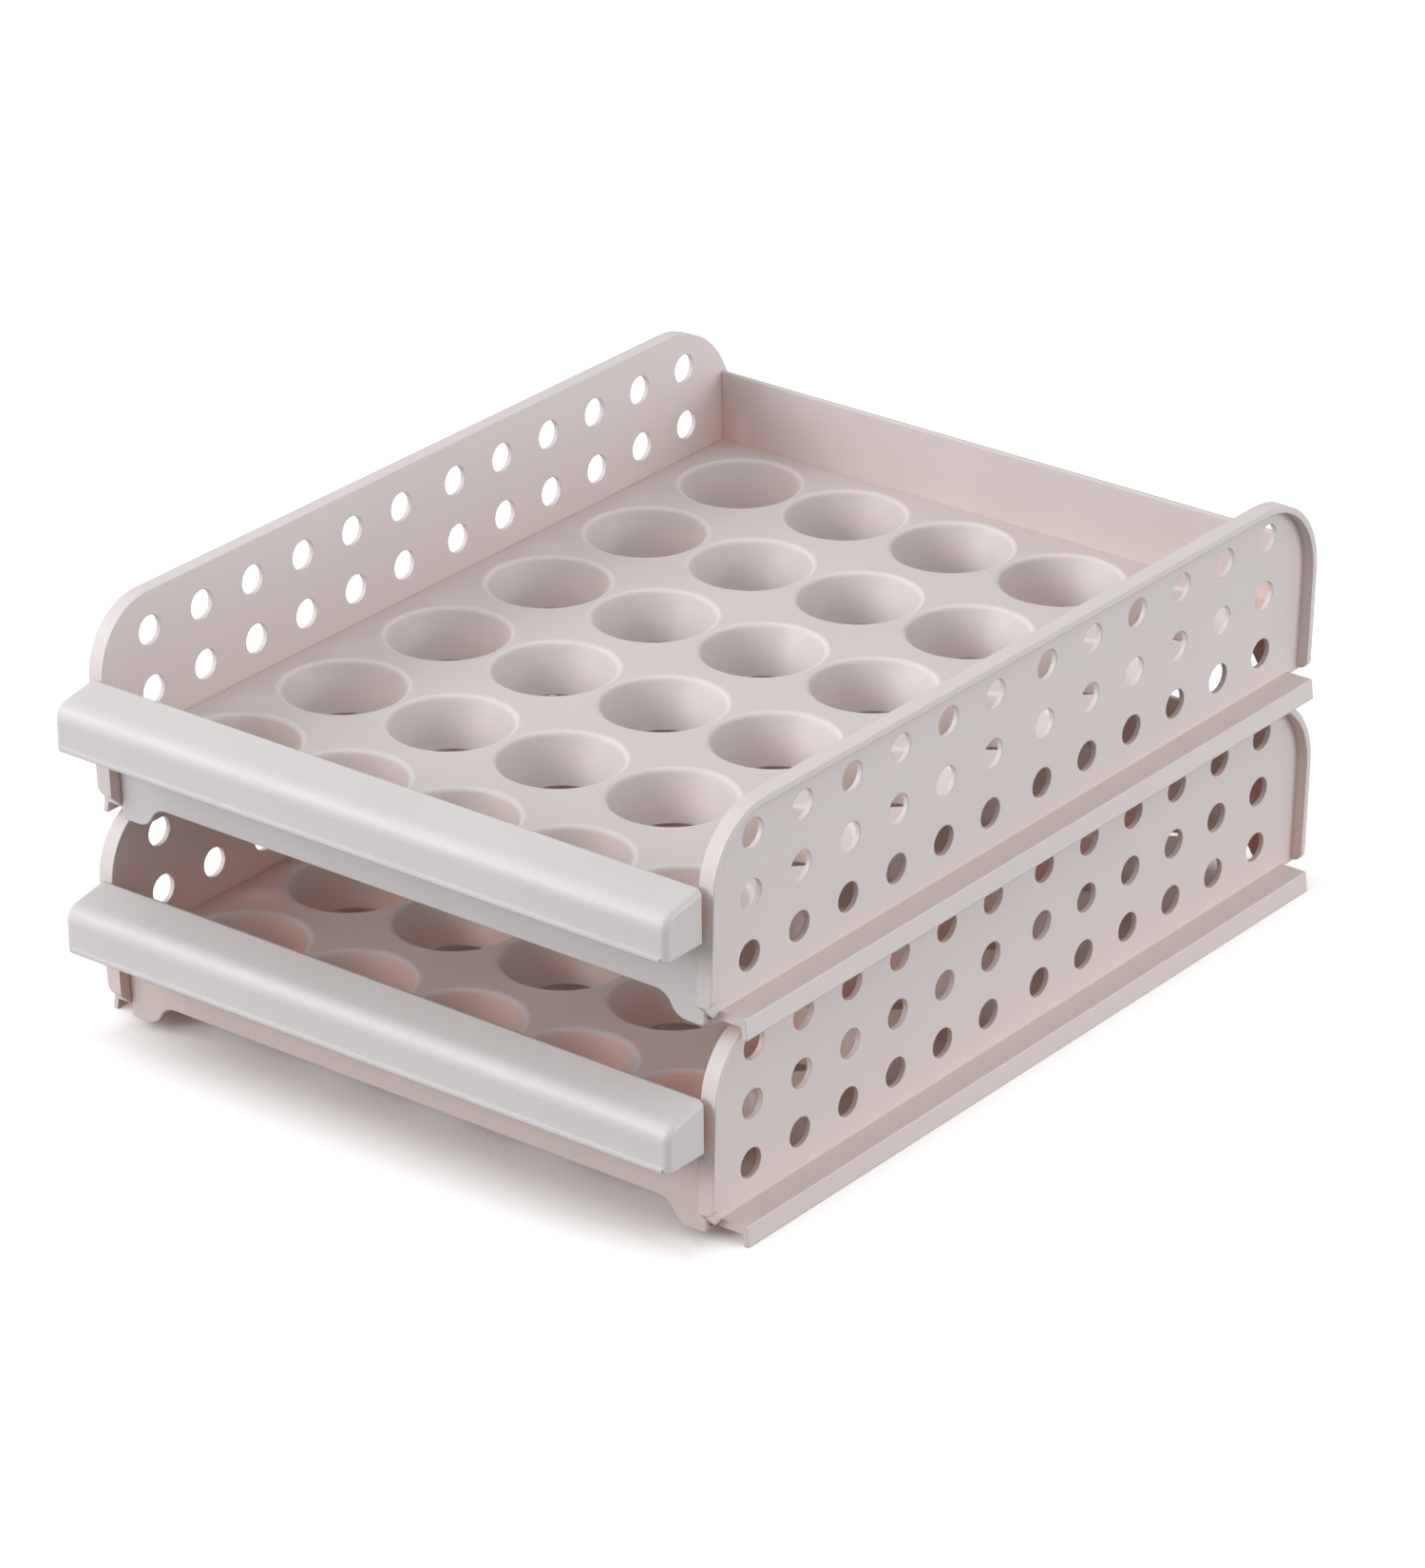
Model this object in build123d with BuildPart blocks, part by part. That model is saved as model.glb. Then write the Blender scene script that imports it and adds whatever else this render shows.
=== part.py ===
"""Two-tier egg holder tray: two identical stacking egg trays, the upper one sliding on the lower one.

Millimetres, +Z up, handles towards -Y. The origin is the middle of the footprint, on the table.
Each tier is six moulded pieces: a cup tray, two perforated side panels, a front panel, a handle bar
and a back panel.
"""
from build123d import *
import os
from math import cos, radians, sin, tan

# ---- Driving dimensions -------------------------------------------------------------------------
overall_depth = 334.0        # front of the handle to the back of the side panels
handle_reach = 19.8          # how far the handle stands in front of the side panels
tier_pitch = 69.3            # height of one stacked tier
wall = 1.8                   # moulded thickness of the side panels and the floor

# Egg cups
cup_columns, cup_rows = 5, 6
cup_pitch_x, cup_pitch_y = 44.0, 50.8
cup_mouth_radius = 20.3      # where the cup wall would meet the floor, before rounding
cup_rim_round = 2.6          # rounding between the floor and the cup wall
cup_base_radius = 13.0       # open bottom of the cup
cup_depth = 15.5
cup_wall = 1.6
cup_grid_y = 8.3             # middle of the cup grid

# Heights above the table on the lower tier
hole_row_height = 19.5       # centres of the lowest row of side holes
floor_top = hole_row_height + 8.5
side_top = hole_row_height + 53.4
back_top = hole_row_height + 33.0
front_top = hole_row_height + 27.0
apron_bottom = hole_row_height - 9.5   # arched lower edge of the front and back panels
foot_bottom = 2.6
rail_top = 6.7
rail_thickness = 2.9

# Side panels
side_half_width = 117.7      # outer face at the lowest row of holes
side_lean = 2.08             # degrees outwards
side_front_radius = 23.0     # rounded top corners
side_back_radius = 31.0
side_foot = 14.0             # panel's lower edge, below the lowest row of holes
side_foot_chamfer = 6.0      # cut-off lower front corner
flange_reach = 3.8           # outward flange round the front, top and back edges
flange_thickness = 2.2
flange_front_end = 8.0       # flange's lower ends, below the lowest row of holes
flange_back_end = 13.0
flange_end_radius = 3.0      # rounded lower corners of the flange
hole_radius = 5.0
hole_pitch_y = 24.0
hole_pitch_z = 20.2
hole_rows = 3
holes_per_group = 6
hole_group_gap = 2.9         # extra space between the two groups of holes
hole_pattern_y = 9.0         # middle of the hole pattern

# Rails: a ledge and a skirt that straddle the flange of the tier below
rail_half_width = 126.9
skirt_thickness = 1.6
skirt_flare = 0.6
rail_front_setback = 8.8     # rail end behind the side panel's front
rail_back_setback = 7.8

# Front and back panels, each with two feet
front_setback = 4.2          # front face behind the side panels' front
front_thickness = 1.8
front_lip_depth = 8.0        # lip behind the lower edge, which makes the feet box-shaped
back_inner_y = 162.2
back_thickness = 2.0
foot_inner_x = 108.5         # where the foot's curve reaches its bottom
foot_curve_width = 11.5
foot_corner_radius = 1.5
edge_round = 0.6

# Handle bar
handle_half_width = 120.0
handle_gap = 2.5             # between the handle's back and the side panels' front
handle_bottom = hole_row_height + 14.8
handle_face_top = hole_row_height + 24.5
handle_top = hole_row_height + 32.5
handle_roll_width = 5.0      # rolled edge between the front face and the top
handle_roll_height = 5.8
handle_wall = 2.2
handle_end_round = 2.2
handle_bead_height = 1.3     # bead along the lower front edge
handle_bead_reach = 0.6
handle_web_height = 6.0      # web between the handle and the front panel
handle_web_side_margin = 5.0

# Supports that carry the floor
fit_gap = 0.1                # between pieces that are pushed together
tab_length = 8.0             # tabs on the side panels and the front panel
tab_reach = 4.0
tab_thickness = 1.8
back_shelf_depth = 4.0       # shelf along the inside of the back panel

# ---- Derived places -----------------------------------------------------------------------------
side_back_y = overall_depth / 2
handle_front_y = -overall_depth / 2
side_front_y = handle_front_y + handle_reach
side_middle_y = (side_front_y + side_back_y) / 2
side_length = side_back_y - side_front_y
front_face_y = side_front_y + front_setback
front_rear_y = front_face_y + front_thickness
floor_bottom = floor_top - wall
rail_front_y = side_front_y + rail_front_setback
rail_back_y = side_back_y - rail_back_setback
side_inner_x = side_half_width - wall
lean_slope = tan(radians(side_lean))


def inner_half_width(height):
    """Half the clear width between the leaning side panels at a height above the table."""
    return side_inner_x + lean_slope * (height - hole_row_height) - fit_gap


def section_plane(y):
    """An upright plane across the tray at y, with local x to the right and local y up."""
    return Plane.XZ.offset(-y)


# The inner face of the right side panel: local x runs to the back, local y up along the lean and
# the normal points outwards. Its origin is at the height of the lowest row of holes.
side_plane = Plane(
    origin=(side_inner_x, 0, hole_row_height),
    x_dir=(0, 1, 0),
    z_dir=(cos(radians(side_lean)), 0, -sin(radians(side_lean))),
)

# ---- Right side panel, with its flange and its rail -----------------------------------------------
side_height = side_top - hole_row_height + side_foot
side_centre_v = side_height / 2 - side_foot


def side_panel_outline(inset):
    """The side panel's outline, moved in by inset except along the bottom edge."""
    with BuildSketch() as outline:
        with Locations((side_middle_y, side_centre_v - inset / 2)):
            Rectangle(side_length - 2 * inset, side_height - inset)
        fillet(outline.vertices().group_by(Axis.X)[0].sort_by(Axis.Y)[-1], side_front_radius - inset)
        fillet(outline.vertices().group_by(Axis.X)[-1].sort_by(Axis.Y)[-1], side_back_radius - inset)
        chamfer(outline.vertices().group_by(Axis.X)[0].sort_by(Axis.Y)[0], side_foot_chamfer)
    return outline.sketch


with BuildPart() as right_side_panel:
    with BuildSketch(side_plane):
        add(side_panel_outline(0))
    extrude(amount=wall)
    with BuildSketch(side_plane):
        add(side_panel_outline(0))
        add(side_panel_outline(flange_thickness), mode=Mode.SUBTRACT)
        for end_y, flange_end in ((side_front_y, flange_front_end), (side_back_y, flange_back_end)):
            with Locations((end_y, -side_foot)):
                Rectangle(side_length, 2 * (side_foot - flange_end), mode=Mode.SUBTRACT)
    extrude(amount=wall + flange_reach)
    flange_ends = (
        right_side_panel.edges()
        .filter_by(Axis.Y)
        .filter_by(lambda edge: edge.center().X > side_half_width + 1 and edge.length < 2 * flange_thickness)
    )
    fillet(flange_ends, flange_end_radius)
    hole_group_length = holes_per_group * hole_pitch_y + hole_group_gap
    with BuildSketch(side_plane):
        with Locations((hole_pattern_y, hole_pitch_z * (hole_rows - 1) / 2)):
            with GridLocations(hole_group_length, 0, 2, 1):
                with GridLocations(hole_pitch_y, hole_pitch_z, holes_per_group, hole_rows):
                    Circle(hole_radius)
    extrude(amount=wall, mode=Mode.SUBTRACT)
    with BuildSketch(section_plane(rail_front_y)) as rail_profile:
        with BuildLine():
            Polyline(
                (side_inner_x - lean_slope * side_foot, rail_top),
                (rail_half_width, rail_top),
                (rail_half_width + skirt_flare, 0),
                (rail_half_width + skirt_flare - skirt_thickness, 0),
                (rail_half_width - skirt_thickness, rail_top - rail_thickness),
                (side_inner_x - lean_slope * side_foot, rail_top - rail_thickness),
                close=True,
            )
        make_face()
        fillet(rail_profile.vertices().group_by(Axis.Y)[-1].sort_by(Axis.X)[-1], edge_round)
    extrude(amount=rail_front_y - rail_back_y)
    with BuildSketch(Plane.XY.offset(floor_bottom - tab_thickness)):
        with Locations((side_inner_x - tab_reach / 2 + wall / 2, hole_pattern_y)):
            with GridLocations(0, hole_group_length, 1, 2):
                with GridLocations(0, hole_pitch_y, 1, holes_per_group - 1):
                    Rectangle(tab_reach + wall, tab_length)
    extrude(amount=tab_thickness)

with BuildPart() as left_side_panel:
    mirror(right_side_panel.part, about=Plane.YZ)

# ---- Cup tray: the floor with its open-bottomed egg cups ------------------------------------------
cup_bottom = floor_top - cup_depth
floor_half_width = inner_half_width(floor_bottom)
floor_length = back_inner_y - front_rear_y

with BuildPart() as cup_tray:
    with BuildSketch(Plane.XY.offset(floor_bottom)):
        with Locations((0, (back_inner_y + front_rear_y) / 2)):
            Rectangle(2 * floor_half_width, floor_length)
    extrude(amount=wall)
    for cup_spread, cup_mode in ((cup_wall, Mode.ADD), (0, Mode.SUBTRACT)):
        with Locations((0, cup_grid_y, cup_bottom)):
            with GridLocations(cup_pitch_x, cup_pitch_y, cup_columns, cup_rows):
                Cone(
                    cup_base_radius + cup_spread,
                    cup_mouth_radius + cup_spread,
                    cup_depth,
                    align=(Align.CENTER, Align.CENTER, Align.MIN),
                    mode=cup_mode,
                )
    fillet(cup_tray.edges().filter_by(GeomType.CIRCLE).group_by(Axis.Z)[-1], cup_rim_round)

# ---- Front and back panels: plates with an arched lower edge between two feet ----------------------
foot_curve_middle = (foot_inner_x - foot_curve_width / 2, (apron_bottom + foot_bottom) / 2)


def footed_outline(top):
    """A plate between the leaning side panels, with its top at a height above the table."""
    with BuildSketch() as outline:
        with BuildLine():
            arch = Line((0, apron_bottom), (foot_inner_x - foot_curve_width, apron_bottom))
            upper_bend = TangentArc(arch @ 1, foot_curve_middle, tangent=arch % 1)
            TangentArc(upper_bend @ 1, (foot_inner_x, foot_bottom), tangent=upper_bend % 1)
            Polyline(
                (foot_inner_x, foot_bottom),
                (inner_half_width(foot_bottom), foot_bottom),
                (inner_half_width(top), top),
                (0, top),
            )
            mirror(about=Plane.YZ)
        make_face()
        lowest_corners = outline.vertices().group_by(Axis.Y)[0].sort_by(Axis.X)
        fillet([lowest_corners[0], lowest_corners[-1]], foot_corner_radius)
    return outline.sketch


with BuildPart() as front_panel:
    with BuildSketch(section_plane(front_face_y)):
        add(footed_outline(front_top))
    extrude(amount=-front_thickness)
    fillet(front_panel.faces().sort_by(Axis.Y)[0].outer_wire().edges().filter_by(
        lambda edge: abs(edge.center().X) < foot_inner_x), edge_round)
    with BuildSketch(section_plane(front_rear_y)):
        lip_outline = footed_outline(front_top)
        add(lip_outline)
        offset(lip_outline, amount=-wall, mode=Mode.SUBTRACT)
        with Locations((0, front_top)):
            Rectangle(3 * handle_half_width, 2 * (front_top - floor_bottom), mode=Mode.SUBTRACT)
        with Locations((0, foot_bottom + wall + front_top)):
            with GridLocations(2 * inner_half_width(foot_bottom), 0, 2, 1):
                Rectangle(3 * wall, 2 * front_top, mode=Mode.SUBTRACT)
    extrude(amount=front_thickness - front_lip_depth)
    with BuildSketch(section_plane(front_rear_y)):
        with Locations((0, floor_bottom - tab_thickness / 2)):
            with GridLocations(cup_pitch_x, 0, cup_columns - 1, 1):
                Rectangle(tab_length, tab_thickness)
    extrude(amount=-tab_reach)

with BuildPart() as back_panel:
    with BuildSketch(section_plane(back_inner_y)):
        add(footed_outline(back_top))
    extrude(amount=-back_thickness)
    fillet(back_panel.edges().filter_by(Axis.X).group_by(Axis.Z)[-1], edge_round)
    with BuildSketch(section_plane(back_inner_y)):
        with Locations((0, floor_bottom - wall / 2)):
            Rectangle(2 * (floor_half_width - tab_reach), wall)
    extrude(amount=back_shelf_depth)

# ---- Handle bar: a hollow bar, open underneath, with a web to the front panel -----------------------
handle_back_y = side_front_y - handle_gap
handle_face_y = handle_front_y + handle_bead_reach
handle_length = 2 * handle_half_width

with BuildPart() as handle_bar:
    with BuildSketch(Plane.YZ.offset(-handle_half_width)) as handle_profile:
        with BuildLine():
            face = Line((handle_face_y, handle_bottom), (handle_face_y, handle_face_top))
            roll = TangentArc(
                face @ 1,
                (handle_face_y + handle_roll_width, handle_face_top + handle_roll_height),
                tangent=face % 1,
            )
            Polyline(roll @ 1, (handle_back_y, handle_top), (handle_back_y, handle_bottom), face @ 0)
        make_face()
    extrude(amount=handle_length)
    end_edges = handle_bar.faces().sort_by(Axis.X)[0].edges() + handle_bar.faces().sort_by(Axis.X)[-1].edges()
    fillet(end_edges.filter_by(lambda edge: edge.center().Y < handle_back_y - handle_wall / 2
                               and edge.center().Z > handle_bottom + 1), handle_end_round)
    with BuildSketch(Plane.YZ.offset(-handle_half_width + handle_wall)):
        offset(handle_profile.sketch_local, amount=-handle_wall)
        with Locations(((handle_face_y + handle_back_y) / 2, handle_bottom)):
            Rectangle(handle_back_y - handle_face_y - 2 * handle_wall, handle_roll_height * 2)
    extrude(amount=handle_length - 2 * handle_wall, mode=Mode.SUBTRACT)
    with BuildSketch(section_plane(handle_face_y)):
        with Locations((0, handle_bottom + handle_bead_height / 2)):
            Rectangle(handle_length - 2 * handle_end_round, handle_bead_height)
    extrude(amount=handle_bead_reach)
    with BuildSketch(section_plane(handle_back_y)):
        with Locations((0, front_top - handle_web_height / 2 - edge_round)):
            Rectangle(2 * (inner_half_width(front_top) - handle_web_side_margin), handle_web_height)
    extrude(amount=handle_back_y - front_face_y)

# ---- The two tiers ------------------------------------------------------------------------------------
pieces = {
    "cup_tray": cup_tray.part,
    "left_side_panel": left_side_panel.part,
    "right_side_panel": right_side_panel.part,
    "front_panel": front_panel.part,
    "handle_bar": handle_bar.part,
    "back_panel": back_panel.part,
}
tiers = {"lower": 0, "upper": tier_pitch}

os.makedirs("parts", exist_ok=True)
for tier, height in tiers.items():
    for piece_name, piece in pieces.items():
        placed = piece.moved(Location((0, 0, height)))
        placed.label = f"{tier}_{piece_name}"
        export_step(placed, f"parts/{placed.label}.step")
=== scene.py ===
"""Looks of the two-tier egg holder tray: moulded plastic, a pale floor, soft studio light and a camera."""
import bpy
from math import cos, radians, sin
from mathutils import Matrix, Vector


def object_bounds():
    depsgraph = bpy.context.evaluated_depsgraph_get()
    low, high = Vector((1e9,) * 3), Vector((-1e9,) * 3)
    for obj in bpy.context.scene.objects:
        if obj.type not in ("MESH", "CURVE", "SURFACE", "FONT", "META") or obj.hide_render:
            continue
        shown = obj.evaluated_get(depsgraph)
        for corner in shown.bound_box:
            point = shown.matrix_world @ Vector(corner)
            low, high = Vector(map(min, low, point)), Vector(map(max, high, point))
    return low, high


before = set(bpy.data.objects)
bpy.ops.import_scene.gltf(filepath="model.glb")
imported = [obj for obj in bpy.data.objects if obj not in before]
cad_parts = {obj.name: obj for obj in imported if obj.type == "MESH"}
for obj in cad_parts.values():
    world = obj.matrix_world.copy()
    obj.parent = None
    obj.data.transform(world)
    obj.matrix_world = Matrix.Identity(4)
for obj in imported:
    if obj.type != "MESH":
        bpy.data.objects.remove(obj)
cad_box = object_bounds()
scene = bpy.context.scene

# ---- Camera: at the photograph's viewing angle ---------------------------------------------------
CAMERA_AIM = Vector((0.0057, 0.0003, 0.0642))   # m, as all lengths here except the lens and sensor
CAMERA_DISTANCE = 2.1926
CAMERA_AZIMUTH = radians(38.358)       # 0 looks along +Y, 90 degrees along -X
CAMERA_ELEVATION = radians(25.703)
CAMERA_ROLL = radians(-0.514)
CAMERA_LENS = 158.97                   # mm, on a sensor that fits the frame's height
CAMERA_SENSOR = 36.0
CAMERA_FAR_CLIP = 20.0


def make_camera():
    """The camera, with its shift at zero and depth of field off."""
    back = Vector((
        sin(CAMERA_AZIMUTH) * cos(CAMERA_ELEVATION),
        -cos(CAMERA_AZIMUTH) * cos(CAMERA_ELEVATION),
        sin(CAMERA_ELEVATION),
    ))
    data = bpy.data.cameras.new("photo_camera")
    data.sensor_fit = "VERTICAL"
    data.sensor_height = CAMERA_SENSOR
    data.lens = CAMERA_LENS
    data.clip_end = CAMERA_FAR_CLIP
    camera = bpy.data.objects.new("photo_camera", data)
    turn = back.to_track_quat("Z", "Y").to_matrix() @ Matrix.Rotation(CAMERA_ROLL, 3, "Z")
    camera.matrix_world = Matrix.LocRotScale(CAMERA_AIM + CAMERA_DISTANCE * back, turn, None)
    scene.collection.objects.link(camera)
    scene.camera = camera


# ---- Moulded plastic ------------------------------------------------------------------------------
PLASTIC = (0.590, 0.540, 0.537)        # pale greyish pink, linear
FRONT_PLASTIC_PAINTED_NEUTRAL = (0.573, 0.542, 0.543)  # painted light: a greyer copy of the plastic for the front panels and the handles, offsetting the pink cast of light bounced between the walls
PAINTED_NOOK_TINT = (0.950, 0.540, 0.420)   # painted shade: a warm tint standing in for light bounced between the walls, put deep between them
PAINTED_RIM_HIGHLIGHT = (0.665, 0.614, 0.608)    # painted highlight on the rounded rims of the egg cups
WORN_EDGE = (0.70, 0.655, 0.65)
PLASTIC_IOR = 1.49

PAINTED_NOOK_REACH = 0.10                      # m, how near other walls have to be for the painted shade
PAINTED_NOOK_SAMPLES = 4
EDGE_ROUND = 0.0006                    # m, radius over which moulded edges catch the light
EDGE_SAMPLES = 6
EDGE_BEND = (0.99, 0.8)                # cosine of the bend from which an edge starts, and is full
RIM_HIGHLIGHT_OUTSIDE = (0.998, 0.97)            # upward part of the normal, from the floor in to the painted highlight line
RIM_HIGHLIGHT_INSIDE = (0.6, 0.82)               # the same, from the cup's wall up to the painted highlight line

NOISE_SPAN = (0.3, 0.7)                # most of a noise texture's values
FLOW_SCALE = 14.0                      # broad tone variation of the moulding
FLOW_STRETCH = (1.0, 0.35, 1.6)
FLOW_TONE = (0.975, 1.02)
WEAR_SCALE = 90.0                      # patches where the edges are more or less worn
WEAR_SPAN = (0.35, 0.65)
WEAR_AMOUNT = (0.15, 0.6)
SHEEN_SCALE = 45.0                     # patches of slightly different gloss
SHEEN_SPREAD = (-0.04, 0.06)           # added to a piece's roughness
GRAIN_SCALE = 1500.0                   # fine mould texture, grains per metre
GRAIN_STRENGTH = 0.35
GRAIN_DEPTH = 0.00003                  # m


def noise(tree, coordinates, scale, detail, stretch=None):
    """A noise texture's value at object coordinates, optionally stretched along an axis."""
    source = coordinates
    if stretch:
        mapping = tree.nodes.new("ShaderNodeMapping")
        mapping.inputs["Scale"].default_value = stretch
        tree.links.new(coordinates, mapping.inputs["Vector"])
        source = mapping.outputs["Vector"]
    texture = tree.nodes.new("ShaderNodeTexNoise")
    texture.inputs["Scale"].default_value = scale
    texture.inputs["Detail"].default_value = detail
    tree.links.new(source, texture.inputs["Vector"])
    return texture.outputs["Fac"]


def map_range(tree, value, old, new):
    """value's range old mapped to the range new, clamped; each is a pair of numbers."""
    node = tree.nodes.new("ShaderNodeMapRange")
    node.inputs["From Min"].default_value = old[0]
    node.inputs["From Max"].default_value = old[1]
    node.inputs["To Min"].default_value = new[0]
    node.inputs["To Max"].default_value = new[1]
    tree.links.new(value, node.inputs["Value"])
    return node.outputs["Result"]


def product(tree, value_a, value_b):
    """Two varying values multiplied."""
    node = tree.nodes.new("ShaderNodeMath")
    node.operation = "MULTIPLY"
    tree.links.new(value_a, node.inputs[0])
    tree.links.new(value_b, node.inputs[1])
    return node.outputs["Value"]


def scaled_colour(tree, colour, factor):
    """colour multiplied by a varying factor."""
    node = tree.nodes.new("ShaderNodeVectorMath")
    node.operation = "SCALE"
    tree.links.new(colour, node.inputs[0])
    tree.links.new(factor, node.inputs["Scale"])
    return node.outputs["Vector"]


def mixed_colour(tree, factor, colour_a, colour_b):
    """A blend from colour_a at factor 0 to colour_b at factor 1; each is a colour or a socket."""
    mix = tree.nodes.new("ShaderNodeMix")
    mix.data_type = "RGBA"
    tree.links.new(factor, mix.inputs["Factor"])
    for name, colour in (("A", colour_a), ("B", colour_b)):
        if isinstance(colour, tuple):
            mix.inputs[name].default_value = (*colour, 1.0)
        else:
            tree.links.new(colour, mix.inputs[name])
    return mix.outputs["Result"]


def painted_nook_mask(tree, painted_nook_span):
    """Painted shade mask: 0 deep between walls, 1 on surfaces with open space around them."""
    occlusion = tree.nodes.new("ShaderNodeAmbientOcclusion")
    occlusion.samples = PAINTED_NOOK_SAMPLES
    occlusion.inputs["Distance"].default_value = PAINTED_NOOK_REACH
    return map_range(tree, occlusion.outputs["AO"], painted_nook_span, (0.0, 1.0))


def edge_mask(tree):
    """A rounded normal, and a mask that is 1 on outer edges and corners and 0 on flat walls."""
    rounded = tree.nodes.new("ShaderNodeBevel")
    rounded.samples = EDGE_SAMPLES
    rounded.inputs["Radius"].default_value = EDGE_ROUND
    geometry = tree.nodes.new("ShaderNodeNewGeometry")
    dot = tree.nodes.new("ShaderNodeVectorMath")
    dot.operation = "DOT_PRODUCT"
    tree.links.new(rounded.outputs["Normal"], dot.inputs[0])
    tree.links.new(geometry.outputs["Normal"], dot.inputs[1])
    return rounded.outputs["Normal"], map_range(tree, dot.outputs["Value"], EDGE_BEND, (0.0, 1.0))


def rim_highlight_mask(tree):
    """Mask for the painted rim highlight: 1 on the upper half of a cup's rounded rim, 0 on the flat floor
    and on the cup's wall.
    """
    geometry = tree.nodes.new("ShaderNodeNewGeometry")
    parts = tree.nodes.new("ShaderNodeSeparateXYZ")
    tree.links.new(geometry.outputs["True Normal"], parts.inputs["Vector"])
    off_floor = map_range(tree, parts.outputs["Z"], RIM_HIGHLIGHT_OUTSIDE, (0.0, 1.0))
    off_wall = map_range(tree, parts.outputs["Z"], RIM_HIGHLIGHT_INSIDE, (0.0, 1.0))
    return product(tree, off_floor, off_wall)


def moulded_plastic(name, colour, painted_brightness, roughness, painted_nook_span, painted_rim_highlight=False):
    """Satin moulded plastic: fine grain, broad flow marks, slightly worn pale edges, and painted light.

    The per-piece brightness factor is painted light, standing in for how brightly each piece is lit.
    The nook span gives the openness below which the painted warm shade is full and above which it is gone.
    The rim flag adds the painted highlight line round each egg cup.
    """
    material = bpy.data.materials.new(name)
    material.use_nodes = True
    tree = material.node_tree
    shader = tree.nodes["Principled BSDF"]
    coordinates = tree.nodes.new("ShaderNodeTexCoord").outputs["Object"]

    flow = noise(tree, coordinates, FLOW_SCALE, 3.0, stretch=FLOW_STRETCH)
    # The flow noise is the moulding's own random tone; the piece's brightness factor is painted light.
    tone_and_painted_brightness = map_range(tree, flow, NOISE_SPAN, [painted_brightness * limit for limit in FLOW_TONE])
    # Painted shade: a warm tint deep between walls; painted highlight: a pale line on the cup rims.
    body_with_painted_light = scaled_colour(tree, mixed_colour(tree, painted_nook_mask(tree, painted_nook_span), PAINTED_NOOK_TINT, colour), tone_and_painted_brightness)
    if painted_rim_highlight:
        body_with_painted_light = mixed_colour(tree, rim_highlight_mask(tree), body_with_painted_light, PAINTED_RIM_HIGHLIGHT)

    rounded_normal, edge = edge_mask(tree)
    wear = map_range(tree, noise(tree, coordinates, WEAR_SCALE, 4.0), WEAR_SPAN, WEAR_AMOUNT)
    wear_and_painted_light = mixed_colour(tree, product(tree, edge, wear), body_with_painted_light, WORN_EDGE)
    tree.links.new(wear_and_painted_light, shader.inputs["Base Color"])

    gloss = noise(tree, coordinates, SHEEN_SCALE, 3.0)
    roughness_range = [roughness + spread for spread in SHEEN_SPREAD]
    tree.links.new(map_range(tree, gloss, NOISE_SPAN, roughness_range), shader.inputs["Roughness"])

    grain = tree.nodes.new("ShaderNodeBump")
    grain.inputs["Strength"].default_value = GRAIN_STRENGTH
    grain.inputs["Distance"].default_value = GRAIN_DEPTH
    tree.links.new(noise(tree, coordinates, GRAIN_SCALE, 2.0), grain.inputs["Height"])
    tree.links.new(rounded_normal, grain.inputs["Normal"])
    tree.links.new(grain.outputs["Normal"], shader.inputs["Normal"])
    shader.inputs["IOR"].default_value = PLASTIC_IOR
    return material


SATIN, SMOOTH_SATIN = 0.5, 0.4         # roughness
WARM_PAINTED_NOOKS = (0.04, 0.34)              # openness of the walls that take on the painted warm shade
FRONT_PAINTED_NOOKS = (0.0, 0.06)              # the front pieces take almost none of the painted warm shade
# Each piece's brightness factor is painted light, making lit and shaded copies of the one plastic.
SIDE_PANEL_LOOK = ("side_panel_plastic", PLASTIC, 1.03, SATIN, WARM_PAINTED_NOOKS)
LOOKS = {                              # material, colour, painted brightness, roughness, nooks of painted shade, painted rim highlight
    "cup_tray": ("cup_tray_plastic", PLASTIC, 0.99, SATIN, WARM_PAINTED_NOOKS, True),
    "left_side_panel": SIDE_PANEL_LOOK,
    "right_side_panel": SIDE_PANEL_LOOK,
    "front_panel": ("front_panel_plastic", FRONT_PLASTIC_PAINTED_NEUTRAL, 0.97, SATIN, FRONT_PAINTED_NOOKS),
    "handle_bar": ("handle_plastic", FRONT_PLASTIC_PAINTED_NEUTRAL, 0.98, SMOOTH_SATIN, FRONT_PAINTED_NOOKS),
    "back_panel": ("back_panel_plastic", PLASTIC, 0.96, SATIN, WARM_PAINTED_NOOKS),
}


def paint_pieces():
    """Each carried-over CAD node gets its plastic on its own material slots."""
    made = {}
    for node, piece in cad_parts.items():
        look = LOOKS[node.split("_", 1)[1]]
        name = look[0]
        if name not in made:
            made[name] = moulded_plastic(*look)
        for material_slot in piece.material_slots:
            material_slot.material = made[name]


# ---- Studio ---------------------------------------------------------------------------------------
FLOOR_SIZE = 12.0
FLOOR_GAP = 0.0002
FLOOR_WHITE = (0.94, 0.94, 0.94)
FLOOR_ROUGHNESS = 0.9
PAINTED_FLOOR_GLOW = 0.35                      # painted light: keeps the floor white out to its edges and fades the tray's cast shadow round it
PAINTED_GLOW_SPAN = (0.9, 1.06)                # in half sizes of the tray: the floor under it has no painted glow
WHITE = (1.0, 1.0, 1.0, 1.0)
SKY_STRENGTH = 0.85
GROUND_STRENGTH = 0.1                  # the surround straight below the tray
HORIZON_SPAN = (-0.35, 0.35)           # upward part of the direction over which the surround brightens
LIGHTS = {                             # place and size in m, power in W
    "key_light": ((-1.7, -1.35, 1.55), 1.2, 20.0),
    "front_light": ((-0.95, -2.25, 0.9), 1.0, 27.0),
    "side_light": ((2.2, 0.8, 0.25), 1.3, 33.0),
}


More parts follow.
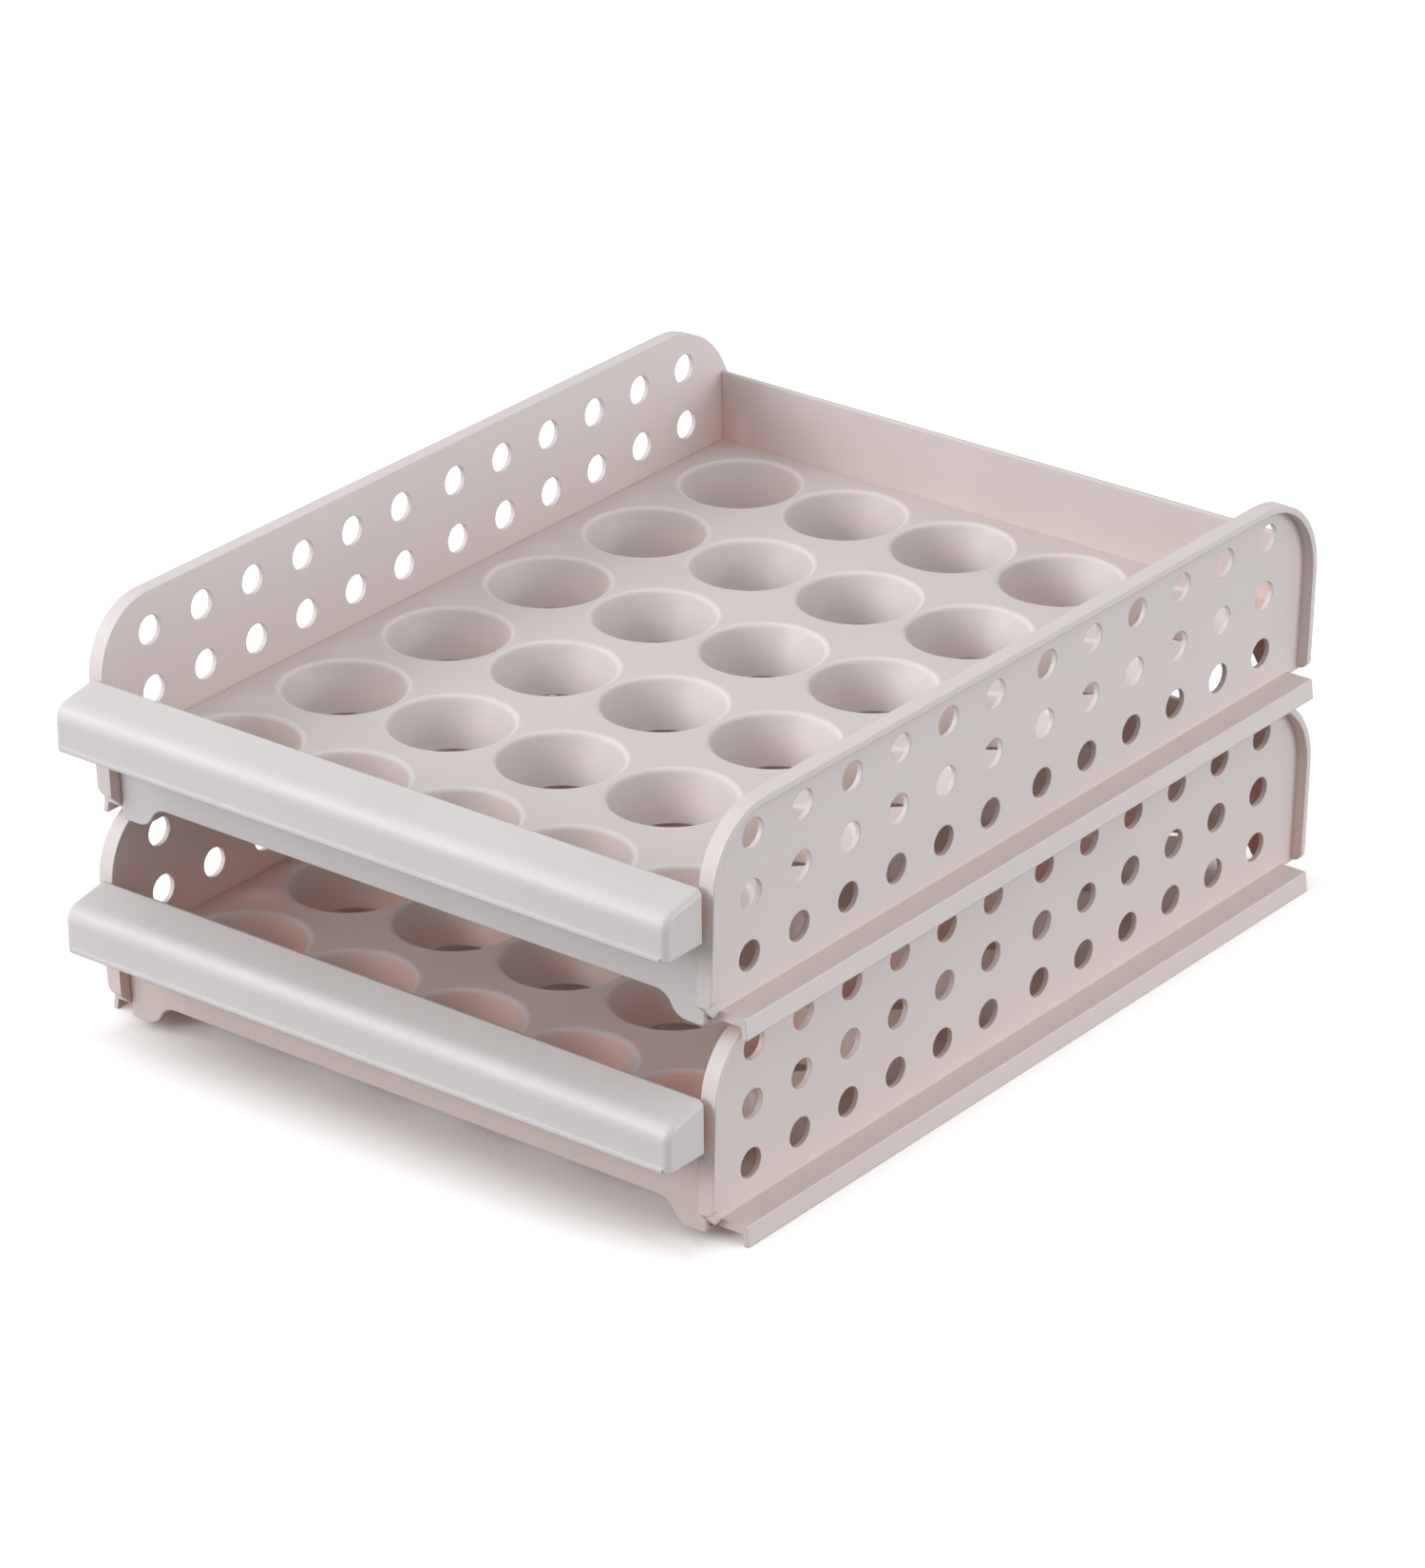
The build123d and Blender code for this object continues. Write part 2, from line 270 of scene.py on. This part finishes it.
def painted_floor_glow(tree):
    """Painted light: 0 on the floor under the tray, the glow strength on the floor round it, fading the
    tray's shadow there.
    """
    coordinates = tree.nodes.new("ShaderNodeTexCoord").outputs["Object"]
    mapping = tree.nodes.new("ShaderNodeMapping")
    mapping.inputs["Scale"].default_value = (1 / cad_box[1].x, 1 / cad_box[1].y, 1.0)
    tree.links.new(coordinates, mapping.inputs["Vector"])
    across = tree.nodes.new("ShaderNodeVectorMath")
    across.operation = "ABSOLUTE"
    tree.links.new(mapping.outputs["Vector"], across.inputs[0])
    parts = tree.nodes.new("ShaderNodeSeparateXYZ")
    tree.links.new(across.outputs["Vector"], parts.inputs["Vector"])
    farther = tree.nodes.new("ShaderNodeMath")
    farther.operation = "MAXIMUM"
    tree.links.new(parts.outputs["X"], farther.inputs[0])
    tree.links.new(parts.outputs["Y"], farther.inputs[1])
    return map_range(tree, farther.outputs["Value"], PAINTED_GLOW_SPAN, (0.0, PAINTED_FLOOR_GLOW))


def floor_material():
    """Matte white, with a painted glow round the tray that fades its shadow."""
    material = bpy.data.materials.new("pale_floor")
    material.use_nodes = True
    tree = material.node_tree
    shader = tree.nodes["Principled BSDF"]
    shader.inputs["Base Color"].default_value = (*FLOOR_WHITE, 1.0)
    shader.inputs["Roughness"].default_value = FLOOR_ROUGHNESS
    shader.inputs["Emission Color"].default_value = WHITE
    tree.links.new(painted_floor_glow(tree), shader.inputs["Emission Strength"])
    return material


def make_floor():
    """A wide pale floor just under the lower tier's skirts, which lights no other surface."""
    mesh = bpy.data.meshes.new("studio_floor")
    half = FLOOR_SIZE / 2
    corners = [(-half, -half, 0), (half, -half, 0), (half, half, 0), (-half, half, 0)]
    mesh.from_pydata(corners, [], [(0, 1, 2, 3)])
    mesh.materials.append(floor_material())
    floor = bpy.data.objects.new("studio_floor", mesh)
    floor.location.z = cad_box[0].z - FLOOR_GAP
    floor.visible_diffuse = False
    scene.collection.objects.link(floor)


def softbox(name, place, size, power):
    """A square area light at place, aimed at the point that the camera looks at."""
    data = bpy.data.lights.new(name, "AREA")
    data.shape = "SQUARE"
    data.size = size
    data.energy = power
    lamp = bpy.data.objects.new(name, data)
    lamp.location = place
    lamp.rotation_euler = (place - CAMERA_AIM).to_track_quat("Z", "Y").to_euler()
    scene.collection.objects.link(lamp)


def make_surround():
    """A white surround that is bright above the horizon and dimmer below it."""
    world = bpy.data.worlds.new("studio_surround")
    world.use_nodes = True
    tree = world.node_tree
    direction = tree.nodes.new("ShaderNodeTexCoord").outputs["Generated"]
    parts = tree.nodes.new("ShaderNodeSeparateXYZ")
    tree.links.new(direction, parts.inputs["Vector"])
    background = tree.nodes["Background"]
    background.inputs["Color"].default_value = WHITE
    strength = map_range(tree, parts.outputs["Z"], HORIZON_SPAN, (GROUND_STRENGTH, SKY_STRENGTH))
    tree.links.new(strength, background.inputs["Strength"])
    scene.world = world
    scene.view_settings.view_transform = "Standard"


def make_lights():
    """Large soft lights from the left, the front and the right, in a white surround."""
    make_surround()
    for name, (place, size, power) in LIGHTS.items():
        softbox(name, Vector(place), size, power)


# ---- The scene ------------------------------------------------------------------------------------
make_camera()
paint_pieces()
make_floor()
make_lights()
